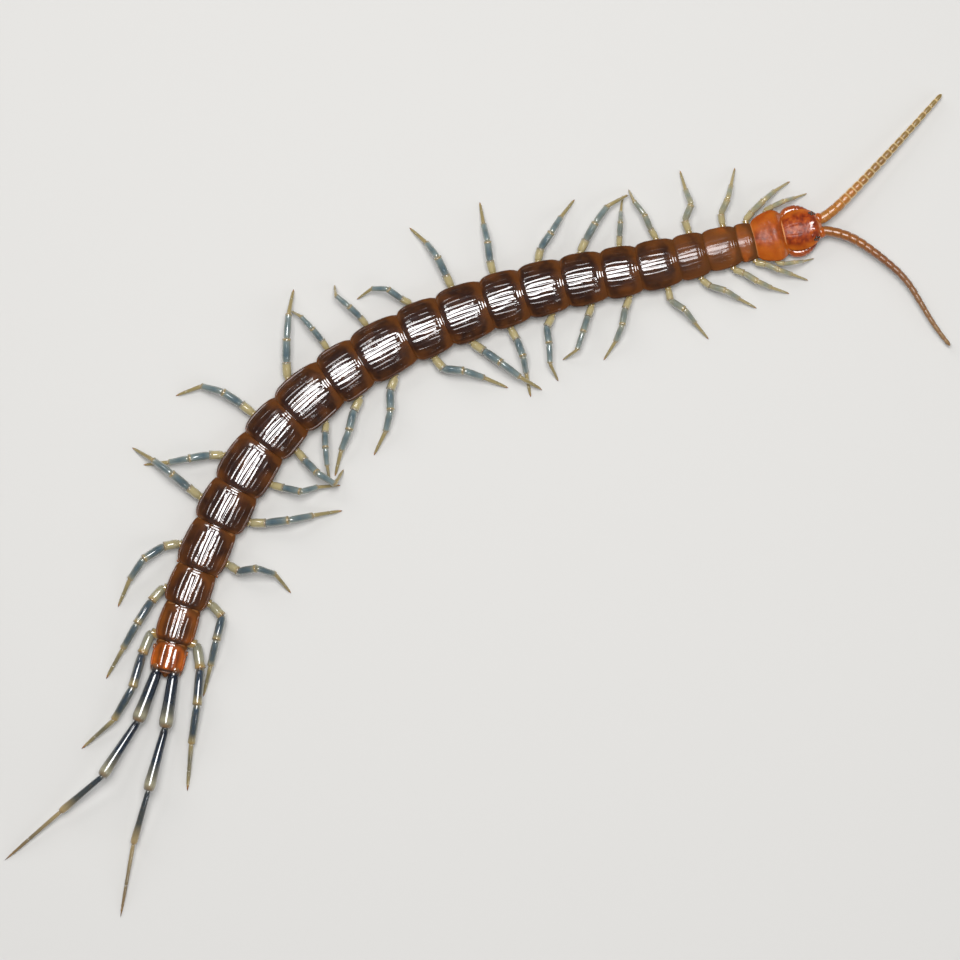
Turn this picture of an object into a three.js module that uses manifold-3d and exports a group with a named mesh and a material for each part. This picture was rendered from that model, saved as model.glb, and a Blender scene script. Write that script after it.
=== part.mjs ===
// A giant centipede at life size, in millimetres, with +Z up and its feet on the plane z = 0.
// It crawls with its head towards +X and its left side towards +Y. Angles are in degrees.
import * as THREE from "three";
import { mergeVertices } from "three/addons/utils/BufferGeometryUtils.js";
import Module from "manifold-3d";

const wasm = await Module();
wasm.setup();

// Driving dimensions: the trunk.
const GAP = 0.3; // kept between neighbouring pieces
const SNOUT = { x: 41.2, y: 33.9 }; // front edge of the head
const CENTRE = { x: 0.3, y: 0.5 }; // middle of the whole outline, moved to the origin
// Lengths of the 21 back plates, first to last, longer and shorter in turn.
const TERGITES = [
  3.8, 2.15, 3.95, 3.6, 4.65, 4.3, 4.85, 5.0, 4.65, 5.4, 4.9,
  6.05, 4.6, 6.05, 4.95, 6.05, 5.05, 5.65, 4.65, 4.5, 3.6,
];
// Width of the trunk at some of those plates.
const WIDTHS = [
  [1, 6.2], [2, 4.7], [3, 5.1], [5, 6], [10, 7], [14, 6.85], [17, 6.4], [19, 5.4], [21, 4.1],
];
const DEPTH = 0.46; // height of the trunk as a share of its width
const BELLY = 0.5; // clearance under the trunk
// Heading of the midline towards the tail, at distances from the snout.
const BEND = [
  [0, 12], [16, 15], [26, 10], [50, 24], [62, 35], [77, 59], [90, 68], [103, 78],
];
const TRUNK_LENGTHS = [[2, 4], [5, 7], [8, 10], [11, 13], [14, 16], [17, 19], [20, 21]];

// Half of the trunk's section from the top round to the belly: shares [across, up, ridge].
const TRUNK_SECTION = [
  [0, 1, 1], [0.16, 0.985, 0], [0.33, 0.975, 1], [0.48, 0.94, 0], [0.64, 0.9, 1],
  [0.82, 0.8, 0], [1, 0.62, 0], [0.86, 0.5, 0], [0.84, 0.14, 0], [0.6, 0, 0], [0, 0, 0],
];
const RIDGE = 0.14; // height of the ridges along a back plate
const FLANK = 0.85; // where the legs are rooted, as a share of half the width
const FLANK_HEIGHT = 0.28; // and as a share of the trunk's height
// Rings along one back plate: shares [place, width, height, ridge].
const PLATE = [
  [0, 0.85, 0.9, 0], [0.07, 0.9, 0.96, 0.4], [0.3, 0.98, 1, 1],
  [0.6, 1, 1, 1], [0.88, 0.96, 0.99, 1], [0.96, 0.9, 0.97, 0.6],
];
const FIRST_PLATE = [
  [0, 0.9, 0.78, 0], [0.1, 0.98, 0.85, 0], [0.3, 1, 0.88, 0],
  [0.6, 0.92, 0.87, 0], [0.85, 0.82, 0.82, 0],
];

// The head, with its underside clear of the poison claws.
const HEAD = { length: 4.3, width: 4.8, floor: 1.35, depth: 1.75 };
const HEAD_SECTION = [
  [0, 1, 0], [0.25, 0.985, 0], [0.5, 0.93, 0], [0.72, 0.82, 0], [0.9, 0.66, 0],
  [1, 0.48, 0], [0.93, 0.36, 0], [0.75, 0.2, 0], [0.5, 0.05, 0], [0, 0, 0],
];
// Rings along the head: shares [place, width, height].
const HEAD_PLATE = [
  [0, 0.52, 0.6], [0.08, 0.68, 0.76], [0.24, 0.88, 0.93], [0.45, 1, 1],
  [0.72, 1, 1], [0.92, 0.92, 0.95], [1, 0.82, 0.86],
];
// Four small eyes a side, at shares [back from the snout, out to the side].
const OCELLI = { radius: 0.17, places: [[0.12, 0.6], [0.17, 0.7], [0.19, 0.58], [0.24, 0.68]] };

// Poison claws: [forward, outward, up, radius] from the front of the first back plate.
const CLAW_RINGS = [
  [GAP, 2, 0.85, 0.55], [1, 2.5, 0.92, 0.62], [2.1, 2.55, 0.95, 0.56],
  [3.1, 2.1, 0.9, 0.42], [3.8, 1.35, 0.8, 0.26], [4.15, 0.55, 0.7, 0.08],
];

// Antennae: beads, and the heading along each, from the animal's straight ahead towards its left.
const FEELER = { beads: 20, length: 21.2, apart: 0.73, base: 1.75 };
const FEELER_GIRTH = [[0, 0.58], [3, 0.57], [6, 0.5], [11, 0.42], [20, 0.25]];
const FEELER_BEND = {
  left: [[0, 20], [1, 24], [3, 33], [8, 35], [21, 37]],
  right: [[0, -17], [5, -46], [10, -54], [13.5, -71], [16.5, -71], [21, -61]],
};

// Legs: lengths and radii of the four free joints, in the middle pairs and in the last pair.
// Then the length of the coxa, the height of the knee and the radius of the claw's tip.
const LEG = {
  lengths: [1.7, 2.55, 2.7, 3.3],
  radii: [0.58, 0.52, 0.42, 0.28],
  coxa: 0.4,
  knee: 2.2,
  claw: 0.08,
};
const LAST_LEG = {
  lengths: [6.4, 7.75, 6.7, 9],
  radii: [0.78, 0.68, 0.44, 0.27],
  coxa: 0.2,
  knee: 2.9,
  claw: 0.1,
};
// Pair by pair: where the root sits, as a share of the plate's length, and the size of the leg.
const LEG_PLACES = [
  [1, 0.45], [2, 0.2], [4, 0.34], [8, 0.46], [9, 0.58], [17, 0.58], [19, 0.74], [20, 0.92],
];
const LEG_SIZES = [
  [1, 0.55], [2, 0.73], [4, 0.84], [9, 1], [16, 1], [18, 1.14], [19, 1.3], [20, 1.66],
];
// Headings of the four joints, pair by pair, from straight out sideways towards the head.
const POSE = {
  left: [
    [77, 80, 82, 80], [53, 60, 61, 69], [6, 39, 29, 27], [-5, 37, -4, 1], [-18, -11, -24, -6],
    [14, 14, 15, 17], [38, 41, 47, 72], [29, 49, 45, 51], [4, 11, 5, 9], [-4, -6, -15, -25],
    [-41, -32, -62, -98], [-11, -19, -21, 20], [0, -7, -9, -22], [38, 42, 45, 50], [-2, -8, -24, -59],
    [-33, -42, -40, -36], [11, 12, 9, 4], [-35, -57, -78, -89], [-69, -78, -79, -79], [-84, -90, -75, -56],
  ],
  right: [
    [66, 82, 90, 96], [66, 50, 62, 60], [55, 41, 56, 61], [36, 57, 47, 50], [-2, 42, 27, 29],
    [-34, -21, -34, -44], [-33, -29, -30, -70], [-43, -7, -12, 13], [10, 2, -6, -7], [34, 33, 33, 42],
    [17, 60, 49, 45], [-50, -27, -43, -56], [-60, -46, -56, -48], [-48, -38, -36, -33], [-10, -6, 9, 104],
    [17, 18, 50, 38], [27, 34, 40, 38], [-10, 32, 6, -27], [-29, -84, -84, -85], [-66, -79, -84, -80],
  ],
};
// The last pair trails behind: headings from straight back towards the outside.
const LAST_POSE = { left: [8, 20, 38, 37], right: [4, -2, -4, 2] };
// Legs that stand higher, are shorter, or step over a neighbour.
const STANCE = {
  left: {
    1: { size: 1.15 },
    2: { size: 1.08 },
    5: { size: 0.88, ankle: 1.9 },
    6: { size: 0.77, ankle: 0.8 },
    7: { ankle: 1.7, foot: 1.25 },
    8: { size: 0.95 },
    9: { size: 0.92 },
    10: { size: 0.95, knee: 2.6 },
    11: { size: 0.8, knee: 2.6, ankle: 1.6 },
    12: { size: 0.77, knee: 2.6, ankle: 2.1 },
    13: { size: 0.76, knee: 2.6, ankle: 2 },
    14: { size: 1.12, ankle: 1.9 },
    15: { size: 1.06 },
    16: { ankle: 0.9 },
    17: { knee: 2.6, ankle: 1.8 },
    20: { ankle: 1.6 },
  },
  right: {
    4: { size: 0.95 },
    5: { size: 0.95 },
    6: { size: 0.93 },
    7: { size: 0.88, ankle: 1.9 },
    8: { size: 0.9, ankle: 1.9 },
    9: { size: 0.92, knee: 2.4, ankle: 0.6 },
    10: { size: 1.04, knee: 2.6, ankle: 2, foot: 0.4 },
    14: { size: 0.8, knee: 2.6, ankle: 2.1 },
    15: { size: 0.94, knee: 3, ankle: 2.3 },
    16: { size: 0.9, knee: 2.6, ankle: 1.2 },
    17: { size: 1.05 },
    18: { size: 0.85, knee: 2.9 },
    19: { size: 0.92 },
    20: { size: 1.05 },
  },
};

const FINISH = {
  plate: { color: 0x5a2c1e, roughness: 0.3 },
  head: { color: 0xc8501c, roughness: 0.3 },
  claw: { color: 0x9c3a12, roughness: 0.25 },
  feeler: { color: 0xa8753a, roughness: 0.5 },
  leg: { color: 0x7d8a86, roughness: 0.35 },
  lastLeg: { color: 0x1f2c3a, roughness: 0.25 },
};

const AHEAD = new THREE.Vector3(1, 0, 0);
const UP = new THREE.Vector3(0, 0, 1);
const SIDES = { left: 1, right: -1 };
const { degToRad, lerp, clamp } = THREE.MathUtils;
const part = new THREE.Group();

// Reads a short table of [place, value] with straight lines between its rows.
function along(table, place) {
  let row = 1;
  while (row < table.length - 1 && place > table[row][0]) row += 1;
  const [from, to] = [table[row - 1], table[row]];
  return lerp(from[1], to[1], clamp((place - from[0]) / (to[0] - from[0]), 0, 1));
}

// The point of the midline at a distance from the snout, walked in short steps.
function midline(distance) {
  const steps = Math.max(1, Math.ceil(distance * 10));
  const step = distance / steps;
  let { x, y } = SNOUT;
  for (let k = 0; k < steps; k += 1) {
    const heading = degToRad(along(BEND, (k + 0.5) * step));
    x -= Math.cos(heading) * step;
    y -= Math.sin(heading) * step;
  }
  return { x, y, heading: degToRad(along(BEND, distance)) };
}

// Bends a closed cylinder. place(point, ring, angle, share) sets each point; share is 0 in mid-cap.
function bent(rings, sides, place) {
  const geometry = new THREE.CylinderGeometry(1, 1, 1, sides, rings - 1);
  const points = geometry.attributes.position;
  const point = new THREE.Vector3();
  for (let k = 0; k < points.count; k += 1) {
    point.fromBufferAttribute(points, k);
    const ring = Math.round((0.5 - point.y) * (rings - 1));
    place(point, ring, Math.atan2(point.x, point.z), Math.hypot(point.x, point.z));
    points.setXYZ(k, point.x, point.y, point.z);
  }
  return geometry;
}

// A round tube through rings of { centre, radius }. Its first ring faces the given direction.
function tube(rings, sides, start) {
  const chords = rings.slice(1).map(({ centre }, k) => centre.clone().sub(rings[k].centre).normalize());
  const frames = rings.map((ring, k) => {
    const ahead = chords[Math.min(k, chords.length - 1)];
    const behind = k > 0 ? chords[k - 1] : start;
    const forward = k > 0 ? ahead.clone().add(behind).normalize() : start;
    const left = UP.clone().cross(forward).normalize();
    return { left, up: forward.clone().cross(left) };
  });
  return bent(rings.length, sides, (point, ring, angle, share) => {
    const { centre, radius } = rings[ring];
    point.copy(centre);
    point.addScaledVector(frames[ring].left, Math.sin(angle) * radius * share);
    point.addScaledVector(frames[ring].up, Math.cos(angle) * radius * share);
    point.z = Math.max(0, point.z);
  });
}

// A shell along the midline through rings of { distance, width, floor, depth, ridge }, all with
// the same half section.
function shell(rings, section) {
  const sides = 2 * (section.length - 1);
  const spots = rings.map((ring) => midline(ring.distance));
  return bent(rings.length, sides, (point, ring, angle, share) => {
    const { width, floor, depth, ridge } = rings[ring];
    const corner = Math.round((Math.abs(angle) / (2 * Math.PI)) * sides);
    const [across, up, crest] = section[corner];
    const { x, y, heading } = spots[ring];
    const aside = -share * Math.sign(angle) * across * (width / 2);
    const rise = lerp(0.5, up, share) * depth + share * crest * ridge;
    point.set(x + Math.sin(heading) * -aside, y + Math.cos(heading) * aside, floor + rise);
  });
}

function solid(geometry) {
  const bare = geometry.clone();
  bare.deleteAttribute("normal");
  bare.deleteAttribute("uv");
  const merged = mergeVertices(bare, 1e-4);
  const vertProperties = merged.attributes.position.array;
  const triVerts = new Uint32Array(merged.index.array);
  return new wasm.Manifold(new wasm.Mesh({ numProp: 3, vertProperties, triVerts }));
}

function surface(manifold) {
  const mesh = manifold.getMesh();
  const geometry = new THREE.BufferGeometry();
  geometry.setAttribute("position", new THREE.BufferAttribute(mesh.vertProperties, 3));
  geometry.setIndex(new THREE.BufferAttribute(mesh.triVerts, 1));
  geometry.computeVertexNormals();
  return geometry;
}

function add(name, geometry, finish, place = { x: 0, y: 0, turn: 0 }) {
  const material = new THREE.MeshStandardMaterial({ ...FINISH[finish], metalness: 0 });
  const mesh = new THREE.Mesh(geometry, material);
  mesh.name = name;
  mesh.position.set(place.x, place.y, 0);
  mesh.rotation.z = place.turn;
  part.add(mesh);
}

function plateStart(number) {
  return TERGITES.slice(0, number - 1).reduce((sum, length) => sum + length, HEAD.length);
}

function trunkSize(number) {
  const width = along(WIDTHS, number);
  return { width, depth: width * DEPTH };
}

function plateRings(number, rows) {
  const { width, depth } = trunkSize(number);
  return rows.map(([place, wide, high, ridge]) => ({
    distance: plateStart(number) + place * TERGITES[number - 1],
    width: width * wide,
    floor: BELLY,
    depth: depth * high,
    ridge: (ridge * RIDGE * width) / 7,
  }));
}

// The trunk's back plates, parted in the soft skin between them.
function trunkLength(first, last, rows) {
  const rings = [];
  for (let number = first; number <= last; number += 1) rings.push(...plateRings(number, rows));
  rings[0].distance += GAP / 2;
  const closing = last < TERGITES.length ? plateRings(last + 1, PLATE)[0] : rings[rings.length - 1];
  rings.push({ ...closing, distance: plateStart(last + 1) - GAP / 2, ridge: 0 });
  return shell(rings, TRUNK_SECTION);
}

function head() {
  const rings = HEAD_PLATE.map(([place, wide, high]) => ({
    distance: place * (HEAD.length - GAP / 2),
    width: HEAD.width * wide,
    floor: HEAD.floor,
    depth: HEAD.depth * high,
    ridge: 0,
  }));
  let body = solid(shell(rings, HEAD_SECTION));
  for (const side of Object.values(SIDES)) {
    for (const [back, out] of OCELLI.places) {
      const { x, y, heading } = midline(back * HEAD.length);
      const aside = (side * out * HEAD.width) / 2;
      const height = HEAD.floor + HEAD.depth * (0.62 + 0.6 * back);
      const eye = new THREE.IcosahedronGeometry(OCELLI.radius, 0);
      eye.translate(x - Math.sin(heading) * aside, y + Math.cos(heading) * aside, height);
      body = body.add(solid(eye));
    }
  }
  const pieces = body.decompose().sort((a, b) => b.volume() - a.volume());
  return surface(pieces[0]);
}

// Poison claws and antennae are built facing +X, then turned with the head.
function poisonClaw(side) {
  const rings = CLAW_RINGS.map(([forward, out, up, radius]) => ({
    centre: new THREE.Vector3(forward, side * out, up),
    radius,
  }));
  return tube(rings, 8, AHEAD);
}

function feeler(side, bend) {
  const bead = FEELER.length / FEELER.beads;
  const centre = new THREE.Vector3(GAP, side * FEELER.apart, FEELER.base);
  const rings = [];
  const ring = (place, wide) => {
    rings.push({ centre: centre.clone(), radius: along(FEELER_GIRTH, place) * wide });
  };
  const advance = (from, to) => {
    const heading = degToRad(along(bend, ((from + to) * bead) / 2));
    const share = to / FEELER.beads;
    centre.x += Math.cos(heading) * (to - from) * bead;
    centre.y += Math.sin(heading) * (to - from) * bead;
    centre.z = FEELER.base + 1.1 * share - 1.9 * share * share;
  };
  ring(0, 0.95);
  for (let k = 0; k < FEELER.beads; k += 1) {
    advance(k, k + 0.22);
    ring(k, 0.93);
    advance(k + 0.22, k + 0.84);
    ring(k, 1.05);
    advance(k + 0.84, k + 1);
  }
  ring(FEELER.beads, 0.5);
  return tube(rings, 6, AHEAD);
}

// A leg built with its root facing +X: a short coxa, then joints up to the knee and down to the foot.
function leg(side, pose, sizes, size, root, stance = {}) {
  const { knee = sizes.knee, foot = sizes.claw } = stance;
  const { ankle = knee * 0.52 } = stance;
  const girth = Math.min(size, 1 + 0.2 * (size - 1));
  const heights = [root, lerp(root, knee, 0.35), knee, ankle, foot];
  const point = new THREE.Vector3(GAP, 0, root);
  const rings = [{ centre: point.clone(), radius: sizes.radii[0] * girth * 0.92 }];
  point.x += sizes.coxa * Math.sqrt(size);
  rings.push({ centre: point.clone(), radius: sizes.radii[0] * girth * 0.88 });
  pose.forEach((heading, k) => {
    const rise = heights[k + 1] - heights[k];
    const reach = Math.sqrt((sizes.lengths[k] * size) ** 2 - rise ** 2);
    const turn = -side * degToRad(heading);
    const next = point.clone().add(new THREE.Vector3(Math.cos(turn) * reach, Math.sin(turn) * reach, rise));
    const [near, far] = k < 3 ? [0.86, 1.04] : [0.95, 0.8];
    const radius = sizes.radii[k] * girth;
    rings.push({ centre: point.clone().lerp(next, k ? 0.1 : 0.2), radius: radius * near });
    rings.push({ centre: point.clone().lerp(next, 0.86), radius: radius * far });
    point.copy(next);
  });
  rings.push({ centre: point.clone(), radius: sizes.claw });
  return tube(rings, 6, AHEAD);
}

// Each leg is rooted in the flank of its segment.
function flankRoot(number, side) {
  const { width, depth } = trunkSize(number);
  const spot = midline(plateStart(number) + TERGITES[number - 1] * along(LEG_PLACES, number));
  const aside = (side * FLANK * width) / 2;
  return {
    x: spot.x - Math.sin(spot.heading) * aside,
    y: spot.y + Math.cos(spot.heading) * aside,
    turn: spot.heading + (side * Math.PI) / 2,
    height: BELLY + FLANK_HEIGHT * depth,
  };
}

add("head", head(), "head");
add("first_plate", trunkLength(1, 1, FIRST_PLATE), "head");
TRUNK_LENGTHS.forEach(([first, last]) => {
  add(`trunk_${first}_to_${last}`, trunkLength(first, last, PLATE), "plate");
});

for (const [name, side] of Object.entries(SIDES)) {
  const neck = midline(HEAD.length + GAP / 2);
  add(`poison_claw_${name}`, poisonClaw(side), "claw", { ...neck, turn: neck.heading });
  const snout = midline(0);
  add(`antenna_${name}`, feeler(side, FEELER_BEND[name]), "feeler", { ...snout, turn: snout.heading });
  POSE[name].forEach((pose, k) => {
    const root = flankRoot(k + 1, side);
    const stance = STANCE[name][k + 1] ?? {};
    const size = along(LEG_SIZES, k + 1) * (stance.size ?? 1);
    const label = `leg_${name}_${String(k + 1).padStart(2, "0")}`;
    add(label, leg(side, pose, LEG, size, root.height, stance), "leg", root);
  });
  const { width, depth } = trunkSize(TERGITES.length);
  const tail = midline(plateStart(TERGITES.length + 1) - GAP / 2);
  const aside = (side * 0.5 * width) / 2;
  add(`leg_${name}_21`, leg(side, LAST_POSE[name], LAST_LEG, 1, BELLY + depth / 2), "lastLeg", {
    x: tail.x - Math.sin(tail.heading) * aside,
    y: tail.y + Math.cos(tail.heading) * aside,
    turn: tail.heading + Math.PI,
  });
}

part.position.set(-CENTRE.x, -CENTRE.y, 0);
export default part;
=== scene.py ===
"""A giant centipede as a still, life-size model on a pale floor.

Shapes are worked out in millimetres and degrees, and turned into metres when a mesh is made. The
animal crawls with its head towards +X and its left side towards +Y, with its feet on z = 0.
"""

import math

import bpy
import numpy as np
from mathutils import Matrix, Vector


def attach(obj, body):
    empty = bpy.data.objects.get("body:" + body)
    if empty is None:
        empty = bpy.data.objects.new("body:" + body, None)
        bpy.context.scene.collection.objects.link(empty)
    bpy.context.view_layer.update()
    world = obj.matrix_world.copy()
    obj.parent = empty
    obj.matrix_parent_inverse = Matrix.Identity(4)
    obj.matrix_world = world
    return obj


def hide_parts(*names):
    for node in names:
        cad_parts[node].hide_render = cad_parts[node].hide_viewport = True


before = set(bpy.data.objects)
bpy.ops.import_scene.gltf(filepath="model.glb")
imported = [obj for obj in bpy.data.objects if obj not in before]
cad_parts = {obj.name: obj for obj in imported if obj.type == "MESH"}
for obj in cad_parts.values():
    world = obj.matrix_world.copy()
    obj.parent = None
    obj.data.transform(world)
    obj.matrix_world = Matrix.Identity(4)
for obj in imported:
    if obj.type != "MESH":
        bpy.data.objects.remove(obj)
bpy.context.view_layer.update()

MM = 0.001
TAU = 2 * math.pi

# Driving dimensions, the same as in the solids.
SNOUT = (41.2, 33.9)
CENTRE = (0.3, 0.5)
# Lengths of the 21 back plates, first to last.
TERGITES = [
    3.8, 2.15, 3.95, 3.6, 4.65, 4.3, 4.85, 5.0, 4.65, 5.4, 4.9,
    6.05, 4.6, 6.05, 4.95, 6.05, 5.05, 5.65, 4.65, 4.5, 3.6,
]
LAST = len(TERGITES)
WIDTHS = [(1, 6.2), (2, 4.7), (3, 5.1), (5, 6), (10, 7), (14, 6.85), (17, 6.4), (19, 5.4), (21, 4.1)]
DEPTH = 0.46
BELLY = 0.5
# Heading of the midline towards the tail, at distances from the snout.
BEND = [(0, 12), (16, 15), (26, 10), (50, 24), (62, 35), (77, 59), (90, 68), (103, 78)]
TRUNK_LENGTHS = [(2, 4), (5, 7), (8, 10), (11, 13), (14, 16), (17, 19), (20, 21)]
FLANK = 0.85
FLANK_HEIGHT = 0.28
HEAD = {"length": 4.3, "width": 4.8, "floor": 1.35, "depth": 1.75}
HEAD_PLATE = [
    (0, 0.52, 0.6), (0.08, 0.68, 0.76), (0.24, 0.88, 0.93), (0.45, 1, 1),
    (0.72, 1, 1), (0.92, 0.92, 0.95), (1, 0.82, 0.86), (1.08, 0.62, 0.8),
]
OCELLI = {"radius": 0.17, "places": [(0.12, 0.6), (0.17, 0.7), (0.19, 0.58), (0.24, 0.68)]}
# Poison claws: forward, outward, up and radius, from the front of the first back plate.
CLAW_RINGS = [
    (-0.4, 1.65, 0.85, 0.5), (0.3, 2, 0.85, 0.55), (1, 2.5, 0.92, 0.62), (2.1, 2.55, 0.95, 0.56),
    (3.1, 2.1, 0.9, 0.42), (3.8, 1.35, 0.8, 0.26), (4.15, 0.55, 0.7, 0.05),
]
PALP_RINGS = [
    (0.9, 0.6, 1.25, 0.26), (2, 1.15, 1.2, 0.27), (3, 1.2, 1.2, 0.24), (3.7, 0.8, 1.15, 0.2),
    (3.95, 0.4, 1.1, 0.06),
]
CLAW_ROOT = HEAD["length"] + 0.15
FEELER = {"beads": 20, "length": 21.2, "apart": 0.73, "base": 1.75}
FEELER_GIRTH = [(0, 0.66), (3, 0.62), (6, 0.53), (11, 0.43), (20, 0.26)]
# Breadth of each antenna for its depth, how pale the sides of its beads are painted as a highlight, and how
# deep the cuts between them.
FEELER_LOOKS = {"left": (1, 0.9, 0.8), "right": (0.92, 0.1, 0.4)}
FEELER_BEND = {
    "left": [(0, 20), (1, 24), (3, 33), (8, 35), (21, 37)],
    "right": [(0, -17), (5, -46), (10, -54), (13.5, -71), (16.5, -71), (21, -61)],
}
LEG = {
    "lengths": (1.7, 2.55, 2.7, 3.3), "radii": (0.58, 0.52, 0.42, 0.28), "coxa": 0.4, "knee": 2.2,
    "claw": 0.08,
}
LAST_LEG = {
    "lengths": (6.4, 7.75, 6.7, 9), "radii": (0.78, 0.68, 0.44, 0.27), "coxa": 0.2, "knee": 2.9,
    "claw": 0.1,
}
LEG_PLACES = [(1, 0.45), (2, 0.2), (4, 0.34), (8, 0.46), (9, 0.58), (17, 0.58), (19, 0.74), (20, 0.92)]
LEG_SIZES = [(1, 0.55), (2, 0.73), (4, 0.84), (9, 1), (16, 1), (18, 1.14), (19, 1.3), (20, 1.66)]
# Headings of the four joints, pair by pair, from straight out sideways towards the head.
POSE = {
    "left": [
        (77, 80, 82, 80), (53, 60, 61, 69), (6, 39, 29, 27), (-5, 37, -4, 1), (-18, -11, -24, -6),
        (14, 14, 15, 17), (38, 41, 47, 72), (29, 49, 45, 51), (4, 11, 5, 9), (-4, -6, -15, -25),
        (-41, -32, -62, -98), (-11, -19, -21, 20), (0, -7, -9, -22), (38, 42, 45, 50), (-2, -8, -24, -59),
        (-33, -42, -40, -36), (11, 12, 9, 4), (-35, -57, -78, -89), (-69, -78, -79, -79),
        (-84, -90, -75, -56),
    ],
    "right": [
        (66, 82, 90, 96), (66, 50, 62, 60), (55, 41, 56, 61), (36, 57, 47, 50), (-2, 42, 27, 29),
        (-34, -21, -34, -44), (-33, -29, -30, -70), (-43, -7, -12, 13), (10, 2, -6, -7), (34, 33, 33, 42),
        (17, 60, 49, 45), (-50, -27, -43, -56), (-60, -46, -56, -48), (-48, -38, -36, -33),
        (-10, -6, 9, 104), (17, 18, 50, 38), (27, 34, 40, 38), (-10, 32, 6, -27), (-29, -84, -84, -85),
        (-66, -79, -84, -80),
    ],
}
LAST_POSE = {"left": (8, 20, 38, 37), "right": (4, -2, -4, 2)}
# How single legs differ: their size, and the heights of knee, ankle and foot.
STANCE = {
    "left": {
        1: {"size": 1.15}, 2: {"size": 1.08}, 5: {"size": 0.88, "ankle": 1.9},
        6: {"size": 0.77, "ankle": 0.8}, 7: {"ankle": 1.7, "foot": 1.25}, 8: {"size": 0.95},
        9: {"size": 0.92}, 10: {"size": 0.95, "knee": 2.6}, 11: {"size": 0.8, "knee": 2.6, "ankle": 1.6},
        12: {"size": 0.77, "knee": 2.6, "ankle": 2.1}, 13: {"size": 0.76, "knee": 2.6, "ankle": 2},
        14: {"size": 1.12, "ankle": 1.9}, 15: {"size": 1.06}, 16: {"ankle": 0.9},
        17: {"knee": 2.6, "ankle": 1.8}, 20: {"ankle": 1.6},
    },
    "right": {
        4: {"size": 0.95}, 5: {"size": 0.95}, 6: {"size": 0.93}, 7: {"size": 0.88, "ankle": 1.9},
        8: {"size": 0.9, "ankle": 1.9}, 9: {"size": 0.92, "knee": 2.4, "ankle": 0.6},
        10: {"size": 1.04, "knee": 2.6, "ankle": 2, "foot": 0.4},
        14: {"size": 0.8, "knee": 2.6, "ankle": 2.1}, 15: {"size": 0.94, "knee": 3, "ankle": 2.3},
        16: {"size": 0.9, "knee": 2.6, "ankle": 1.2}, 17: {"size": 1.05}, 18: {"size": 0.85, "knee": 2.9},
        19: {"size": 0.92}, 20: {"size": 1.05},
    },
}
SIDES = {"left": 1, "right": -1}

# Place, size and power of each soft light, in metres and watts. The first ones also show as glints:
# the streaks on the keels, and thin lines on the legs and along both sides.
SOFTBOXES = [
    ((-0.01, 0.07, 0.5), 0.25, 2.7), ((-0.2, 0.33, 0.42), 0.06, 0.16), ((0.22, -0.27, 0.42), 0.05, 0.1),
    ((-0.5, 0.6, 0.5), 0.5, 1.8), ((0.6, -0.3, 0.4), 0.5, 1.1),
]
GLINTS = 3
FLOOR_REACH = 3
# The camera looks down, a little from the -Y side, as the photo does.
CAMERA = {"target": (0.06, 2.87, 0), "elevation": 86, "distance": 500, "lens": 156.25}


def along(table, place, column=1):
    """Reads a short table with straight lines between its rows."""
    return np.interp(place, [row[0] for row in table], [row[column] for row in table])


def curve(table, place, column=1):
    """Reads a short table with a smooth curve through its rows."""
    at = np.array([row[0] for row in table], float)
    value = np.array([row[column] for row in table], float)
    slope = np.gradient(value, at)
    k = np.clip(np.searchsorted(at, place, side="right") - 1, 0, len(at) - 2)
    span = at[k + 1] - at[k]
    t = np.clip((place - at[k]) / span, 0, 1)
    return (
        value[k] * (1 + 2 * t) * (1 - t) ** 2
        + slope[k] * span * t * (1 - t) ** 2
        + value[k + 1] * t * t * (3 - 2 * t)
        + slope[k + 1] * span * t * t * (t - 1)
    )


def ease(value, low, high):
    """0 below low, 1 above high, smooth between."""
    t = np.clip((value - low) / (high - low), 0, 1)
    return t * t * (3 - 2 * t)


def hump(value, middle, width):
    """A smooth bump of height 1."""
    return np.exp(-(((value - middle) / width) ** 2))


def rough(place, size, seed):
    """Smooth noise from about -1 to 1, from waves in seeded directions."""
    rng = np.random.default_rng(seed)
    total = np.zeros(place.shape[:-1])
    for _ in range(14):
        wave = rng.normal(size=3)
        wave *= TAU / (size * np.linalg.norm(wave) * rng.uniform(0.7, 1.4))
        total += np.sin(place @ wave + rng.uniform(0, TAU))
    return total / 5


def points(x, y, z):
    """Points from their three coordinates, spread to one shape."""
    return np.stack(np.broadcast_arrays(x, y, z), -1)


def column(*parts):
    """Numbers, and runs of numbers, as one column."""
    return np.concatenate([np.atleast_1d(part) for part in parts])[:, None]


def circle(sides):
    """Angles evenly round a turn."""
    return np.arange(sides) / sides * TAU


# The midline, walked in short steps from ahead of the snout to behind the tail.
STEP = 0.05
REACH = (-4, 112)


def walk():
    place = np.arange(REACH[0], REACH[1], STEP)
    heading = np.radians(along(BEND, place))
    middle = np.radians(along(BEND, place + STEP / 2))
    x = -np.cumsum(np.cos(middle)) * STEP
    y = -np.cumsum(np.sin(middle)) * STEP
    x += SNOUT[0] - CENTRE[0] - np.interp(0, place + STEP, x)
    y += SNOUT[1] - CENTRE[1] - np.interp(0, place + STEP, y)
    return place + STEP, x, y, np.interp(place + STEP, place, heading)


MIDLINE = walk()


def body(distance, aside, height):
    """Points at distances behind the snout, offsets to the animal's left, and heights."""
    x, y, heading = (np.interp(distance, MIDLINE[0], row) for row in MIDLINE[1:])
    return points(x - np.sin(heading) * aside, y + np.cos(heading) * aside, height)


def heading_at(distance):
    return float(np.interp(distance, MIDLINE[0], MIDLINE[3]))


def plate_start(number):
    return HEAD["length"] + sum(TERGITES[: number - 1])


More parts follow.
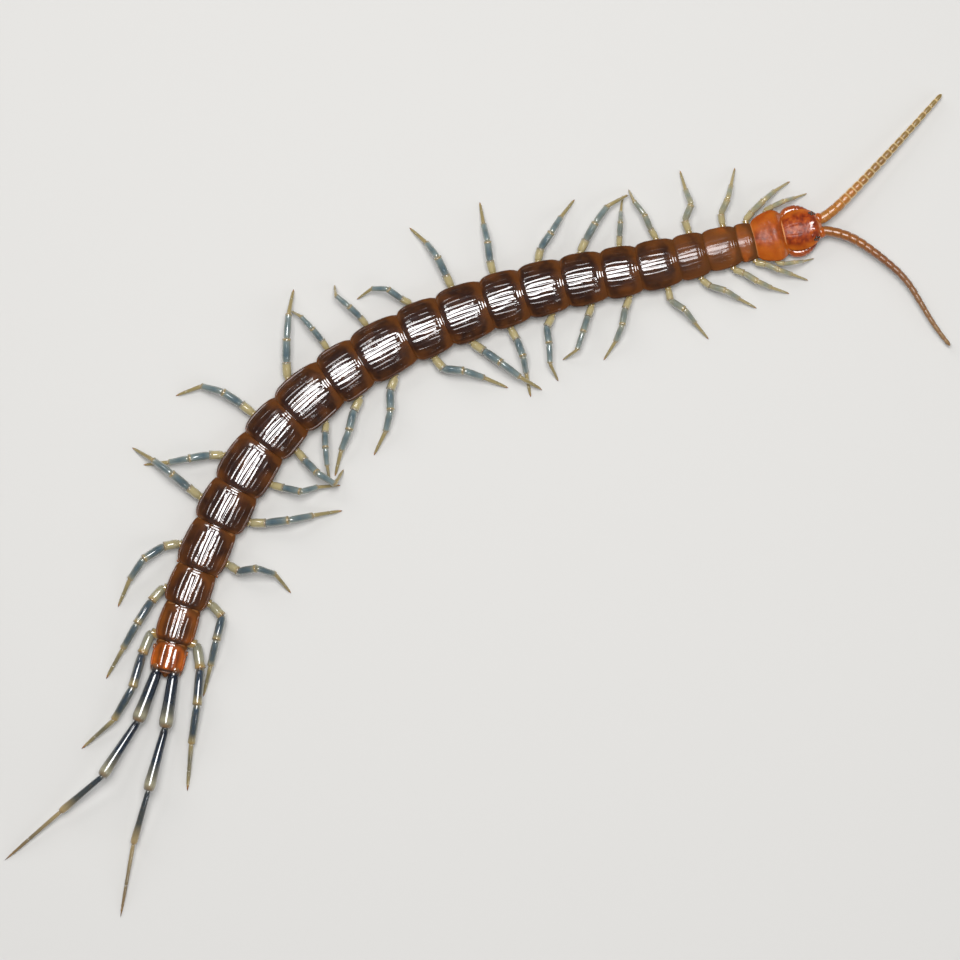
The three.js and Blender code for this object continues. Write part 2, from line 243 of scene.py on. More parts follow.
class Body:
    """Closed shapes gathered into one mesh, with named values on each vertex for the materials."""

    def __init__(self, *names):
        self.points, self.quads, self.tris = [], [], []
        self.values = {name: [] for name in names}
        self.count = 0

    def loft(self, rings, **values):
        """Joins closed rings, an array (rings, sides, 3), and closes both ends."""
        n, m = rings.shape[:2]
        middles = rings[[0, -1]].mean(axis=1)
        corners = np.concatenate([rings.reshape(-1, 3), middles])
        i, j = np.meshgrid(np.arange(n - 1), np.arange(m), indexing="ij")
        a = (i * m + j).ravel()
        b = (i * m + (j + 1) % m).ravel()
        quads = np.stack([a, b, b + m, a + m], -1)
        ring = np.arange(m)
        after = (ring + 1) % m
        front = np.stack([np.full(m, n * m), after, ring], -1)
        back = np.stack([np.full(m, n * m + 1), ring + (n - 1) * m, after + (n - 1) * m], -1)
        tris = np.concatenate([front, back])
        halves = np.concatenate([quads[:, :3], quads[:, [0, 2, 3]], tris])
        p, q, r = (corners[halves[:, k]] - corners[0] for k in range(3))
        if np.einsum("ij,ij->", p, np.cross(q, r)) < 0:
            quads, tris = quads[:, ::-1], tris[:, ::-1]
        for name, store in self.values.items():
            value = np.asarray(values.get(name, 0), float)
            grid = np.broadcast_to(value[:, None] if value.ndim == 1 else value, (n, m))
            store.append(np.concatenate([grid.ravel(), [grid[0].mean(), grid[-1].mean()]]))
        self.points.append(corners)
        self.quads.append(quads + self.count)
        self.tris.append(tris + self.count)
        self.count += len(corners)

    def make(self, name, material, slot, *nodes):
        """The mesh object, riding on the model and standing for these nodes."""
        places = np.concatenate(self.points) * MM
        quads, tris = np.concatenate(self.quads), np.concatenate(self.tris)
        corners = np.concatenate([quads.ravel(), tris.ravel()])
        starts = np.concatenate([np.arange(len(quads)) * 4, len(quads) * 4 + np.arange(len(tris)) * 3])
        mesh = bpy.data.meshes.new(name)
        mesh.vertices.add(len(places))
        mesh.vertices.foreach_set("co", places.ravel())
        mesh.loops.add(len(corners))
        mesh.loops.foreach_set("vertex_index", corners.astype(np.int32))
        mesh.polygons.add(len(starts))
        mesh.polygons.foreach_set("loop_start", starts.astype(np.int32))
        mesh.update(calc_edges=True)
        mesh.validate()
        for value, store in self.values.items():
            layer = mesh.attributes.new(value, "FLOAT", "POINT")
            layer.data.foreach_set("value", np.concatenate(store).astype(np.float32))
        mesh.shade_smooth()
        mesh.materials.append(material)
        piece = bpy.data.objects.new(name, mesh)
        bpy.context.scene.collection.objects.link(piece)
        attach(piece, "root")
        if nodes:
            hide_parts(*nodes)


def sweep(path, wide, high, sides=20, start=None):
    """Rings of an oval tube along a path, with its half width and half height at each point."""
    path = np.asarray(path, float)
    forward = np.gradient(path, axis=0)
    if start is not None:
        forward[0] = start
    forward /= np.linalg.norm(forward, axis=1)[:, None]
    left = np.cross((0, 0, 1), forward)
    left /= np.linalg.norm(left, axis=1)[:, None]
    up = np.cross(forward, left)
    angle = circle(sides)
    wide, high = (np.broadcast_to(np.asarray(v, float), len(path)) for v in (wide, high))
    return (
        path[:, None]
        + left[:, None] * (np.sin(angle)[None, :, None] * wide[:, None, None])
        + up[:, None] * (np.cos(angle)[None, :, None] * high[:, None, None])
    )


# Materials.
def feed(tree, socket, value):
    """Links a socket to a node or to a named value of the vertices, or sets its constant."""
    if isinstance(value, str):
        value = node("Attribute", {}, "Fac", attribute_name=value)
    if callable(value):
        tree.links.new(value(tree), socket)
    elif isinstance(value, tuple) and len(value) == 3 and len(socket.default_value) == 4:
        socket.default_value = (*value, 1)
    else:
        socket.default_value = value


def node(kind, inputs, output=0, **settings):
    """A shader node with these settings and inputs, made in a tree when it is fed to a socket there."""
    def make(tree):
        added = tree.nodes.new("ShaderNode" + kind)
        for name, value in settings.items():
            setattr(added, name, value)
        for name, value in inputs.items():
            feed(tree, added.inputs[name], value)
        return added.outputs[output]

    return make


def place_of():
    """Object coordinates in millimetres."""
    return node("Mapping", {"Vector": node("TexCoord", {}, "Object"), "Scale": (1 / MM,) * 3})


def noise(size, detail=3, seed=0):
    """Noise from 0 to 1 with features of that size in millimetres."""
    inputs = {"Vector": place_of(), "W": seed, "Scale": 1 / size, "Detail": detail}
    return node("TexNoise", inputs, "Fac", noise_dimensions="4D")


def cells(size):
    """Distance from the middles of cells of that size in millimetres."""
    return node("TexVoronoi", {"Vector": place_of(), "Scale": 1 / size}, "Distance")


def ramp(factor, *stops):
    """Colours, or greys, at places along a value."""
    def make(tree):
        added = tree.nodes.new("ShaderNodeValToRGB")
        elements = added.color_ramp.elements
        for place, _ in stops[1:-1]:
            elements.new(place)
        for element, (place, colour) in zip(elements, stops):
            element.position = place
            element.color = (*colour, 1) if isinstance(colour, tuple) else (colour,) * 3 + (1,)
        feed(tree, added.inputs["Fac"], factor)
        return added.outputs["Color"]

    return make


def mix(factor, a, b):
    return node("Mix", {0: factor, 6: a, 7: b}, 2, data_type="RGBA")


def times(a, b):
    return node("Math", {0: a, 1: b}, operation="MULTIPLY")


def bump(height, distance, strength):
    """A relief, with its depth in millimetres."""
    inputs = {"Strength": strength, "Distance": distance * MM, "Height": height}
    return {"Normal": node("Bump", inputs)}


def gloss(coat, coat_roughness, specular=0.5, tint=(1, 1, 1)):
    return {
        "Coat Weight": coat, "Coat Roughness": coat_roughness, "Specular IOR Level": specular,
        "Specular Tint": tint,
    }


def soften(weight, radius, colour):
    """Light that spreads under the surface, over a radius in millimetres."""
    return {"Subsurface Weight": weight, "Subsurface Radius": colour, "Subsurface Scale": radius * MM}


def new_material(name, colour, roughness, *looks):
    """A material with this colour and roughness, and other inputs of its shader in groups."""
    material = bpy.data.materials.new(name)
    material.use_nodes = True
    shader = material.node_tree.nodes["Principled BSDF"]
    for inputs in ({"Base Color": colour, "Roughness": roughness}, *looks):
        for socket, value in inputs.items():
            feed(material.node_tree, shader.inputs[socket], value)
    return material


def plate_material():
    """Mahogany back plates: warmer at the tail, the edges and each plate's soft front; painted shade in the
    keel grooves.
    """
    dark = mix(ramp(noise(0.9, 4), (0.35, 0), (0.68, 1)), (0.022, 0.007, 0.0025), (0.056, 0.019, 0.0045))
    orange = mix(ramp(noise(0.7, 3, 5), (0.3, 0), (0.7, 1)), (0.3, 0.052, 0.003), (0.48, 0.11, 0.006))
    brown = mix(ramp("warm", (0, 0), (0.5, 1)), dark, (0.17, 0.05, 0.006))
    warm = mix(ramp("warm", (0.5, 0), (1, 1)), brown, orange)
    edge = mix(ramp("soft", (0.1, 0), (0.95, 1)), warm, (0.1, 0.031, 0.0045))
    # Painted shade: the grooves between the keels are darkened almost to black over the middle of each
    # plate.
    keel = mix(times("keel", 0.7), edge, (0.016, 0.005, 0.003))
    polish = ramp(noise(0.25, 3, 2), (0.3, 0.09), (0.7, 0.17))
    return new_material(
        "back_plate", keel, mix("dull", polish, (0.5, 0.5, 0.5)), gloss(1, 0.04, 0.25, (0.95, 0.92, 1)),
        {"Coat IOR": 1.9, "Coat Weight": ramp("dull", (0.1, 1), (0.6, 0.04))},
        soften(0.08, 0.3, (1, 0.3, 0.1)), bump(mix(0.5, noise(0.09, 4, 3), cells(0.14)), 0.012, 0.3),
    )


def skin_material():
    """The soft skin between plates: golden orange and finely wrinkled, browner on its small plates."""
    blotch = ramp(noise(0.8, 4), (0.3, (0.1, 0.03, 0.006)), (0.7, (0.19, 0.06, 0.01)))
    bright = mix("joint", blotch, (0.23, 0.085, 0.014))
    brown = mix("sclerite", bright, (0.075, 0.02, 0.007))
    return new_material(
        "soft_skin", mix("belly", brown, (0.36, 0.17, 0.055)),
        ramp(noise(0.3, 2, 4), (0.3, 0.3), (0.7, 0.48)),
        gloss(0.3, 0.2), soften(0.3, 0.5, (1, 0.35, 0.1)),
        bump(mix(0.5, noise(0.12, 5, 1), cells(0.2)), 0.05, 0.6),
    )


def head_material():
    """Glossy orange-red, mottled and pitted over the middle, smoother and paler orange at the sides."""
    mottle = ramp(
        noise(0.55, 5, 7), (0.36, (0.13, 0.016, 0.004)), (0.5, (0.25, 0.034, 0.005)),
        (0.68, (0.42, 0.085, 0.01)),
    )
    smooth = ramp(noise(1.3, 3, 8), (0.3, (0.3, 0.052, 0.004)), (0.7, (0.46, 0.115, 0.008)))
    rim = mix("rim", mix("mottled", smooth, mottle), (0.6, 0.27, 0.1))
    matt = ramp(noise(0.3, 3, 2), (0.3, 0.28), (0.7, 0.42))
    pits = ramp(cells(0.17), (0, 0), (0.3, 1))
    return new_material(
        "head_capsule", rim, mix("dull", (0.16, 0.16, 0.16), matt), gloss(1, 0.06, 0.22),
        {"Coat IOR": 1.7, "Coat Weight": ramp("dull", (0, 0.9), (0.8, 0.03))},
        soften(0.15, 0.4, (1, 0.25, 0.06)), bump(mix(0.4, pits, noise(0.2, 4, 3)), 0.02, 0.45),
    )


def claw_material():
    """Hard and glossy: dark orange, darkening to black at the tip."""
    base = ramp(
        "along", (0, (0.44, 0.1, 0.01)), (0.45, (0.36, 0.065, 0.007)), (0.66, (0.22, 0.03, 0.004)),
        (0.82, (0.035, 0.006, 0.003)), (1, (0.01, 0.003, 0.002)),
    )
    mottled = mix(ramp(noise(0.4, 4), (0.3, 0), (0.7, 0.4)), base, (0.2, 0.03, 0.008))
    return new_material(
        "poison_claw", mottled, 0.1, gloss(1, 0.03, 0.8), soften(0.1, 0.3, (1, 0.3, 0.1)),
        bump(noise(0.18, 4, 6), 0.02, 0.3),
    )


def feeler_material(name, near, middle, far, rim_and_glint):
    """Beaded feelers: glossy and orange at the base, then duller, with a pale rim on each bead that is
    partly its own paler joint and partly painted highlight.
    """
    base = ramp("along", (0, near), (0.22, near), (0.4, middle), (1, far))
    spots = ramp(noise(0.3, 4, 3), (0.35, 0), (0.65, 0.45))
    blotch = mix(spots, base, tuple(0.45 * c for c in middle))
    return new_material(
        name, mix("rim", blotch, rim_and_glint), ramp("along", (0.1, 0.24), (0.3, 0.42), (1, 0.5)),
        gloss(0.35, 0.15), {"Sheen Weight": 0.15}, soften(0.15, 0.3, (1, 0.4, 0.15)),
        bump(noise(0.07, 3, 9), 0.02, 0.5),
    )


def cuticle(name, colour, depth):
    """What every leg has in common: a faint mottle, orange joints, a gloss and some see-through depth."""
    mottled = mix(ramp(noise(0.5, 4, 3), (0.5, 0), (0.8, 0.25)), colour, (0.2, 0.12, 0.04))
    return new_material(
        name, mix("spot", mottled, (0.26, 0.12, 0.025)), ramp(noise(0.4, 2, 4), (0.3, 0.08), (0.7, 0.16)),
        gloss(1, 0.03, 0.8), soften(depth, 0.35, (0.8, 0.7, 0.5)),
        bump(mix(0.5, noise(0.1, 4, 6), cells(0.15)), 0.006, 0.25),
    )


# Colours of the legs. The value along runs from 0 at the root to 1 at the tip of the claw.
ROOT, GOLD, TAN, TIP = (0.2, 0.08, 0.014), (0.33, 0.21, 0.06), (0.31, 0.24, 0.1), (0.08, 0.02, 0.006)
CREAM, SLATE = (0.4, 0.33, 0.16), (0.17, 0.215, 0.215)


def leg_material():
    """Walking legs: cream, then blue-grey with a dark core, olive feet and orange claws; their sides are
    painted paler, for light through the thin edges.
    """
    day = ramp(
        "along", (0, ROOT), (0.12, GOLD), (0.18, CREAM), (0.3, CREAM), (0.335, SLATE),
        (0.38, (0.07, 0.112, 0.132)), (0.44, (0.11, 0.155, 0.165)), (0.475, SLATE), (0.492, TAN),
        (0.505, SLATE), (0.56, (0.1, 0.145, 0.155)), (0.64, SLATE), (0.665, TAN), (0.76, (0.26, 0.21, 0.09)),
        (0.86, (0.3, 0.22, 0.085)), (0.93, (0.33, 0.13, 0.025)), (1, TIP),
    )
    glass = ramp(
        "along", (0, ROOT), (0.14, GOLD), (0.2, (0.42, 0.34, 0.16)), (0.33, (0.38, 0.32, 0.17)),
        (0.42, (0.25, 0.255, 0.18)), (0.5, (0.4, 0.32, 0.15)), (0.58, (0.25, 0.265, 0.2)),
        (0.67, (0.38, 0.3, 0.14)), (0.8, (0.3, 0.25, 0.13)), (0.93, (0.36, 0.16, 0.04)), (1, TIP),
    )
    dark = ramp(
        "along", (0, ROOT), (0.12, GOLD), (0.18, (0.18, 0.18, 0.13)), (0.28, (0.26, 0.25, 0.17)),
        (0.32, GOLD), (0.345, (0.02, 0.035, 0.055)), (0.45, (0.016, 0.03, 0.05)), (0.487, TAN),
        (0.51, (0.03, 0.05, 0.07)), (0.62, (0.03, 0.045, 0.055)), (0.66, TAN), (0.72, (0.12, 0.11, 0.07)),
        (0.85, TAN), (0.93, (0.28, 0.1, 0.02)), (1, TIP),
    )
    colour = mix("pale", mix("night", day, dark), glass)
    # Painted light: the sides of each joint, as seen from above, are lightened for light shining through the
    # thin edges.
    return cuticle("leg_cuticle", mix(times("side", 0.5), colour, (0.36, 0.35, 0.25)), 0.25)


def last_leg_material():
    """The trailing pair: navy, fading to see-through tan at the far end of each joint."""
    navy, horn = (0.005, 0.01, 0.02), (0.3, 0.28, 0.19)
    colour = ramp(
        "along", (0, (0.3, 0.1, 0.02)), (0.12, (0.05, 0.03, 0.02)), (0.17, navy),
        (0.25, (0.012, 0.022, 0.036)), (0.285, (0.09, 0.09, 0.07)), (0.31, horn), (0.34, navy),
        (0.42, (0.012, 0.024, 0.04)), (0.46, (0.12, 0.115, 0.085)), (0.485, horn),
        (0.505, (0.02, 0.03, 0.04)), (0.6, (0.05, 0.055, 0.05)), (0.655, (0.33, 0.25, 0.12)),
        (0.75, (0.17, 0.13, 0.07)), (0.9, (0.24, 0.14, 0.05)), (1, (0.06, 0.02, 0.006)),
    )
    return cuticle("last_leg_cuticle", colour, 0.08)


def eye_material():
    colour = ramp("rim", (0, (0.008, 0.006, 0.006)), (1, (0.25, 0.08, 0.02)))
    return new_material("ocellus", colour, ramp(noise(0.05, 2), (0.3, 0.06), (0.7, 0.12)), gloss(1, 0.03))


# The body, from the core outwards.
def trunk_width(distance):
    """Full width of the trunk at distances behind the snout, from the plates around them."""
    middles = [plate_start(n) + TERGITES[n - 1] * 0.5 for n in range(1, LAST + 1)]
    widths = [along(WIDTHS, n) for n in range(1, LAST + 1)]
    widths[0] = 5.2
    return np.interp(distance, middles, widths)


def leg_distance(number):
    return plate_start(number) + TERGITES[number - 1] * along(LEG_PLACES, number)


# Half of the core's section from the top round to the belly: shares across and up.
CORE_SECTION = [
    (0, 0, 0.84), (0.14, 0.35, 0.825), (0.28, 0.62, 0.75), (0.38, 0.8, 0.64), (0.46, 0.87, 0.53),
    (0.56, 0.86, 0.4), (0.68, 0.83, 0.24), (0.78, 0.74, 0.1), (0.88, 0.56, 0.02), (1, 0, 0),
]

# How many points one side of the section has.
CORE_SIDE = 37
# Small plates on the flank of each segment: place behind the leg, place round the section, length and
# height.
SIDE_PLATES = [
    (0, 0.47, 0.85, 0.055), (-0.26, 0.55, 0.5, 0.05), (0.24, 0.56, 0.45, 0.05),
    (-0.14, 0.66, 0.4, 0.045), (0.2, 0.69, 0.5, 0.04),
]


def core():
    """Soft skin all along the trunk, wrinkled at the joints, with small side plates."""
    piece = Body("joint", "sclerite", "belly")
    end = plate_start(LAST + 1)
    distance = np.arange(HEAD["length"] - 0.6, end + 0.35, 0.1)[:, None]
    half = np.linspace(0, 1, CORE_SIDE)
    turn = np.concatenate([half, half[-2:0:-1]])[None, :]
    side = np.where(np.arange(turn.size) < CORE_SIDE, 1, -1)
    across = curve(CORE_SECTION, turn)
    up = curve(CORE_SECTION, turn, 2)
    width = trunk_width(distance)
    starts = np.array([plate_start(n) for n in range(2, LAST + 1)])
    nearest = starts[np.abs(distance - starts).argmin(axis=1)][:, None]
    joint = hump(distance, nearest, 0.62)
    pinch = 1 - 0.075 * joint - 0.02 * rough(points(distance, turn * 4, side), 2, 3)
    end_in = 1 - 0.3 * ease(distance, end - 0.4, end + 0.35) - 0.3 * ease(-distance, -4.6, -3.7)
    aside = side * across * width / 2 * pinch * end_in
    height = BELLY + up * width * DEPTH * (1 - 0.03 * joint) * (1 - 0.12 * (1 - end_in))
    height = height - (height - BELLY) * 0.3 * ease(-distance, -5.4, -4.5)
    folds = joint * np.sin(distance * TAU / 0.3 + 2 * np.sin(turn * 9)) * (1 - hump(turn, 1, 0.25))
    fine = rough(points(distance * 1.6, turn * 9, side * 3), 1.1, 5)
    swell = 0.035 * folds + 0.025 * fine * hump(turn, 0.55, 0.2)
    sclerite = 0
    for number in range(2, LAST):
        length = TERGITES[number - 1]
        for back, place, long, tall in SIDE_PLATES:
            along_it = (distance - leg_distance(number) - back * length) / (long * length / 5)
            spot = along_it**2 + ((turn - place) / tall) ** 2
            sclerite = np.maximum(sclerite, 1 - ease(spot, 0.75, 1.15))
    swell = swell + 0.06 * sclerite
    aside = aside + side * swell * ease(turn, 0.25, 0.4)
    height = height + swell * (1 - ease(turn, 0.3, 0.5)) - 0.5 * swell * ease(turn, 0.75, 0.9)
    piece.loft(body(distance, aside, height), joint=joint, sclerite=sclerite, belly=ease(turn, 0.76, 0.86))
    return piece


KEEL = {"spacing": 0.57, "height": 0.06, "reach": 0.8}
PLATE_THICK = 0.4
# Distance between the points of a back plate, along and across.
PLATE_STEPS = (0.085, 0.032)
# Outline of a back plate: place, share of the half width.
PLATE_OUTLINE = [
    (-0.06, 0.82), (0, 0.86), (0.08, 0.915), (0.25, 0.97), (0.5, 1), (0.75, 1), (0.86, 0.97),
    (0.94, 0.91), (1, 0.82), (1.03, 0.72),
]
# Height of its middle: place, share of the full height.
PLATE_RISE = [
    (-0.06, 0.86), (0, 0.9), (0.08, 0.945), (0.25, 0.985), (0.5, 1), (0.8, 1), (0.95, 0.985), (1.03, 0.955),
]
# How warm the colour of each plate is, how strong its keels, and how raised its side rims.
WARMTH = [
    (1, 1), (2, 0.62), (3, 0.4), (4, 0.25), (5, 0.1), (8, 0), (17, 0.05), (19, 0.2), (20, 0.42), (21, 1),
]
DULLNESS = [(2, 0.5), (3, 0.45), (4, 0.4), (5, 0.2), (7, 0)]
KEEL_STRENGTH = [(2, 0.1), (3, 0.25), (5, 0.7), (7, 1), (20, 1), (21, 0.9)]
RIM_STRENGTH = [(5, 0.25), (12, 0.5), (16, 1), (21, 1)]


def crown(across):
    """Height of the back over the middle of a section, as a share of the trunk's depth."""
    return 1 - 0.4 * np.abs(across) ** 2.2


def across_plate(count, bend):
    """Places across a plate, closer at its sides, then back under it, and which of them are below."""
    v = np.sin(np.linspace(-1, 1, count) * bend) / math.sin(bend)
    v = np.concatenate([v, np.linspace(0.97, -0.97, 9)])
    return v, np.abs(v), np.arange(v.size) >= count


def back_plate(piece, number):
    """One back plate: a keeled shield with rounded corners, raised side rims and a thin rear edge."""
    length = TERGITES[number - 1]
    width = along(WIDTHS, number)
    middle = np.linspace(-0.03, 1.015, int(length / PLATE_STEPS[0]))
    u = column(-0.045, -0.04, middle, 1.022, 1.026)
    sink = column(0.3, 0.12, 0 * middle, 0.05, 0.16)
    v, out, below = across_plate(int(width / PLATE_STEPS[1]), 1.15)
    aside = v * (width / 2 * curve(PLATE_OUTLINE, u))
    place = points(u * length, aside, number * 7.0)
    # Keels fade in behind the soft front part, and the outer ones are shorter and broken.
    strength = along(KEEL_STRENGTH, number)
    spacing = KEEL["spacing"] / (width / 2) * (1.5 if number == LAST else 1)
    most = round(KEEL["reach"] / spacing)
    keel = 0
    for k in range(-most, most + 1):
        far = abs(k) / most
        at = k * spacing + 0.012 * np.sin(u * 6 + k * 2.1 + number)
        begin = 0.1 + 0.2 * far**2 + 0.05 * math.sin(number * 3.7 + k * 1.9)
        envelope = ease(u, begin, begin + 0.12) * (1 - ease(u, 0.93 - 0.1 * far, 0.99 - 0.06 * far))
        wave = np.sin(u * length * TAU / 0.34 + k * 2.3 + number * 1.3)
        beads = 1 - (0.05 + 0.5 * far) * (0.5 + 0.5 * wave)
        worn = 1 - far * ease(rough(place * (0.5, 2, 1), 1.1, 500 + number + 20 * k), -0.1, 0.5)
        broad = spacing * (0.43 - 0.23 * ease(far, 0.1, 0.5))
        strip = np.exp(-((np.abs(v - at) / broad) ** 4))
        keel = keel + (1 - 0.35 * far) * envelope * beads * worn * strip
    raised = along(RIM_STRENGTH, number)
    rim = raised * hump(out, 0.955, 0.03) * ease(u, 0.05, 0.3)
    groove = hump(out, 0.89, 0.035) * ease(u, 0.1, 0.3) * raised
    ripple = np.sin(u * length * TAU / 0.3 + 3 * out)
    folds = hump(v, 0, 0.16) * (1 - ease(u * length, 0.7, 0.95)) * ripple
    wear = rough(place, 0.5, number) * 0.003 + rough(place * (0.5, 1.6, 1), 1.6, number + 40) * 0.015
    rise = strength * KEEL["height"] * keel + 0.1 * rim - 0.05 * groove + 0.05 * folds + wear
    shield = BELLY + width * DEPTH * curve(PLATE_RISE, u) * crown(v)
    top = shield + rise - 0.12 * ease(out, 0.965, 1) ** 2 - sink
    low = shield - PLATE_THICK * (1 - 0.6 * out**4) - sink
    from_joint = np.minimum(u * length, (1 - u) * length * 3) - 0.7 * out**3
    soft = 1 - ease(from_joint + 0.12 * rough(place, 0.9, number + 60), 0.05, 1)
    between = np.clip(1 - keel, 0, 1)
    dull = along(DULLNESS, number) + 0.4 * ease(out, 0.3, 0.5) + 0.15 * between
    piece.loft(
        body(plate_start(number) + u * length, aside, np.where(below, low, top)),
        warm=np.clip(along(WARMTH, number) + 0.15 * rough(place, 2.5, number + 80), 0, 1),
        soft=np.clip(soft + 0.3 * ease(out, 0.72, 0.98), 0, 1),
        # keel: mask of the painted shade in the grooves between the keels, over the middle of the plate.
        keel=between * strength * ease(u, 0.15, 0.3) * (1 - ease(out, 0.5, 0.8)),
        dull=np.clip(dull, 0, 1),
    )


def back_plates(material):
    for first, last in TRUNK_LENGTHS:
        # The value keel marks the painted shade in the grooves between the keels.
        piece = Body("warm", "soft", "keel", "dull")
        for number in range(first, last + 1):
            back_plate(piece, number)
        name = f"trunk_{first}_to_{last}"
        piece.make(f"back_plates_{first}_to_{last}", material, "plate", name)


FIRST_OUTLINE = [
    (-0.06, 0.72), (0, 0.78), (0.1, 0.9), (0.3, 1), (0.55, 0.97), (0.8, 0.87), (0.93, 0.78), (1.03, 0.64),
]
FIRST_RISE = [
    (-0.06, 0.6), (0, 0.64), (0.08, 0.73), (0.18, 0.84), (0.3, 0.875), (0.5, 0.84), (0.7, 0.795),
    (0.85, 0.755), (1.03, 0.7),
]
FIRST_POINTS = (60, 101)  # along and across


def first_plate(material):
    """The broad, smooth shield behind the head."""
    piece = Body("mottled", "rim", "dull")
    length = TERGITES[0]
    width = WIDTHS[0][1]
    middle = np.linspace(-0.03, 1.01, FIRST_POINTS[0])
    u = column(-0.045, -0.04, middle, 1.02, 1.025)
    sink = column(0.3, 0.1, 0 * middle, 0.05, 0.16)
    v, out, below = across_plate(FIRST_POINTS[1], 1.3)
    aside = v * width / 2 * curve(FIRST_OUTLINE, u)
    place = points(u * length, aside, 3.0)
    furrow = hump(u * length, 0.42, 0.1) * (1 - 0.7 * out)
    rise = 0.03 * rough(place, 2.2, 11) + 0.006 * rough(place, 0.5, 12) - 0.015 * furrow
    shield = BELLY + width * DEPTH * curve(FIRST_RISE, u) * crown(v)
    top = shield + rise - 0.12 * ease(out, 0.96, 1) ** 2 - sink
    low = shield - 0.5 - sink
    rim = ease(u, 0.975, 1.01) * 0.6 + hump(u * length, 0.02, 0.1) * 0.25
    piece.loft(
        body(plate_start(1) + u * length, aside, np.where(below, low, top)),
        mottled=0.75 * hump(v[None, :], 0, 0.5), rim=np.clip(rim, 0, 1),
        dull=ease(u * length, 0.75, 1.2),
    )
    piece.make("first_back_plate", material, "head", "first_plate")


# Height of the head along its length: highest near the front.
HEAD_RISE = [
    (0, 0.64), (0.04, 0.8), (0.1, 0.92), (0.18, 0.985), (0.3, 0.985), (0.6, 0.95), (0.85, 0.9), (1, 0.86),
    (1.08, 0.84),
]
HEAD_UNDER = 0.42  # where the side of the head turns under, as a share of its depth
HEAD_POINTS = (84, 91)  # along and across its top


def head_top(place, across):
    """Height of the head over shares of its length and of its half width there."""
    lift = HEAD["depth"] * curve(HEAD_RISE, place)
    bulges = 0.05 * hump(np.abs(across), 0.27, 0.2) * hump(place, 0.16, 0.1)
    dip = 0.05 * hump(across, 0, 0.1) * hump(place, 0.18, 0.16)
    return HEAD["floor"] + lift * (1 - (1 - HEAD_UNDER) * np.abs(across) ** 2.3) + bulges - dip


def head(material):
    piece = Body("mottled", "rim", "dull")
    middle = np.linspace(0.005, 1.06, HEAD_POINTS[0])
    u = column(-0.035, -0.028, -0.012, middle, 1.07, 1.075)
    shrink = column(0.35, 0.75, 0.93, 0 * middle + 1, 0.97, 0.9)
    across = np.sin(np.linspace(-1, 1, HEAD_POINTS[1]) * 1.35) / math.sin(1.35)
    turn = np.linspace(0, 1, 35)[1:-1]
    v = np.concatenate([across, 1 - 2 * turn])
    out = np.abs(v)
    below = np.concatenate([0 * across, np.sin(turn * math.pi) ** 0.6])
    aside = v * (HEAD["width"] / 2 * curve(HEAD_PLATE, u)) * shrink
    place = points(u * HEAD["length"], aside, 1)
    centre = (1 - ease(out, 0.62, 0.95)) * ease(u, 0.02, 0.15)
    wear = 0.02 * rough(place, 1.1, 21) + 0.01 * rough(place, 0.35, 22) * centre
    sutures = 0.03 * hump(out, 0.24 + 0.1 * (1 - u), 0.02) * ease(u, 0.45, 0.7)
    rear = ease(u, 1.03, 1.05)
    top = head_top(u, v) + wear - sutures + 0.03 * rear - 0.03 * hump(u, 1.015, 0.012)
    keep = HEAD["floor"] + HEAD["depth"] * HEAD_UNDER * curve(HEAD_RISE, u)
    low = keep - (keep - HEAD["floor"] + 0.05) * below
    waist = HEAD["floor"] + HEAD["depth"] * HEAD_UNDER
    height = waist + (np.where(below > 0, low, top) - waist) * shrink
    piece.loft(
        body(u * HEAD["length"], aside, height), mottled=centre * (1 - rear),
        rim=0.8 * ease(u, 1.03, 1.045) * (below == 0), dull=ease(u, 0.22, 0.4),
    )
    # The soft ring round the root of each antenna, and the upper lip.
    wide = np.array([0.5, 0.72, 0.7, 0.6])
    for side in SIDES.values():
        aside = side * np.array([0.95, 0.86, 0.78, 0.74])
        ring = body([0.55, 0.2, -0.12, -0.3], aside, [1.95, 1.88, 1.8, 1.77])
        piece.loft(sweep(ring, wide, wide * 0.92, 24), rim=[0, 0, 0.1, 0.25], mottled=0.2, dull=0.3)
    lip = body([1.6, 0.8, 0.2, -0.1], 0, [1.3, 1.25, 1.3, 1.4])
    piece.loft(sweep(lip, [1.2, 1.15, 0.85, 0.35], [0.3, 0.32, 0.28, 0.12], 32), mottled=0.3)
    piece.make("head_capsule", material, "head", "head")


def ocelli(material):
    """Four small, glossy eyes on each side of the head."""
    piece = Body("rim")
    polar = np.linspace(0.02, math.pi - 0.02, 14)
    around, rise = (way(polar)[:, None] * OCELLI["radius"] for way in (np.sin, np.cos))
    ball = points(np.cos(circle(20)) * around, np.sin(circle(20)) * around, rise)
    for side in SIDES.values():
        for back, out in OCELLI["places"]:
            half = HEAD["width"] / 2 * curve(HEAD_PLATE, back)
            share = min(0.985, out * HEAD["width"] / 2 / half)
            height = float(head_top(back, share)) - 0.02
            centre = body(back * HEAD["length"], side * share * half, height)
            piece.loft(centre + ball, rim=ease(polar, 0.9, 1.25))
    piece.make("ocelli", material, "head")


def mover(x, y, heading):
    """Takes points to the place (x, y), turned so that their +X has that heading."""
    cos, sin = math.cos(heading), math.sin(heading)
    turn = np.array([[cos, -sin], [sin, cos]])
    return lambda points: np.concatenate([points[..., :2] @ turn.T + (x, y), points[..., 2:]], -1)


def head_frame(distance):
    """Takes points to a place on the midline, with their +X towards the snout."""
    return mover(*body(distance, 0, 0)[:2], heading_at(distance))


def smooth_path(rows, count):
    """A smooth path through rows of forward, out, up and radius."""
    rows = [(k, *row) for k, row in enumerate(rows)]
    place = np.linspace(0, len(rows) - 1, count)
    return np.stack([curve(rows, place, column) for column in range(1, 5)], -1)


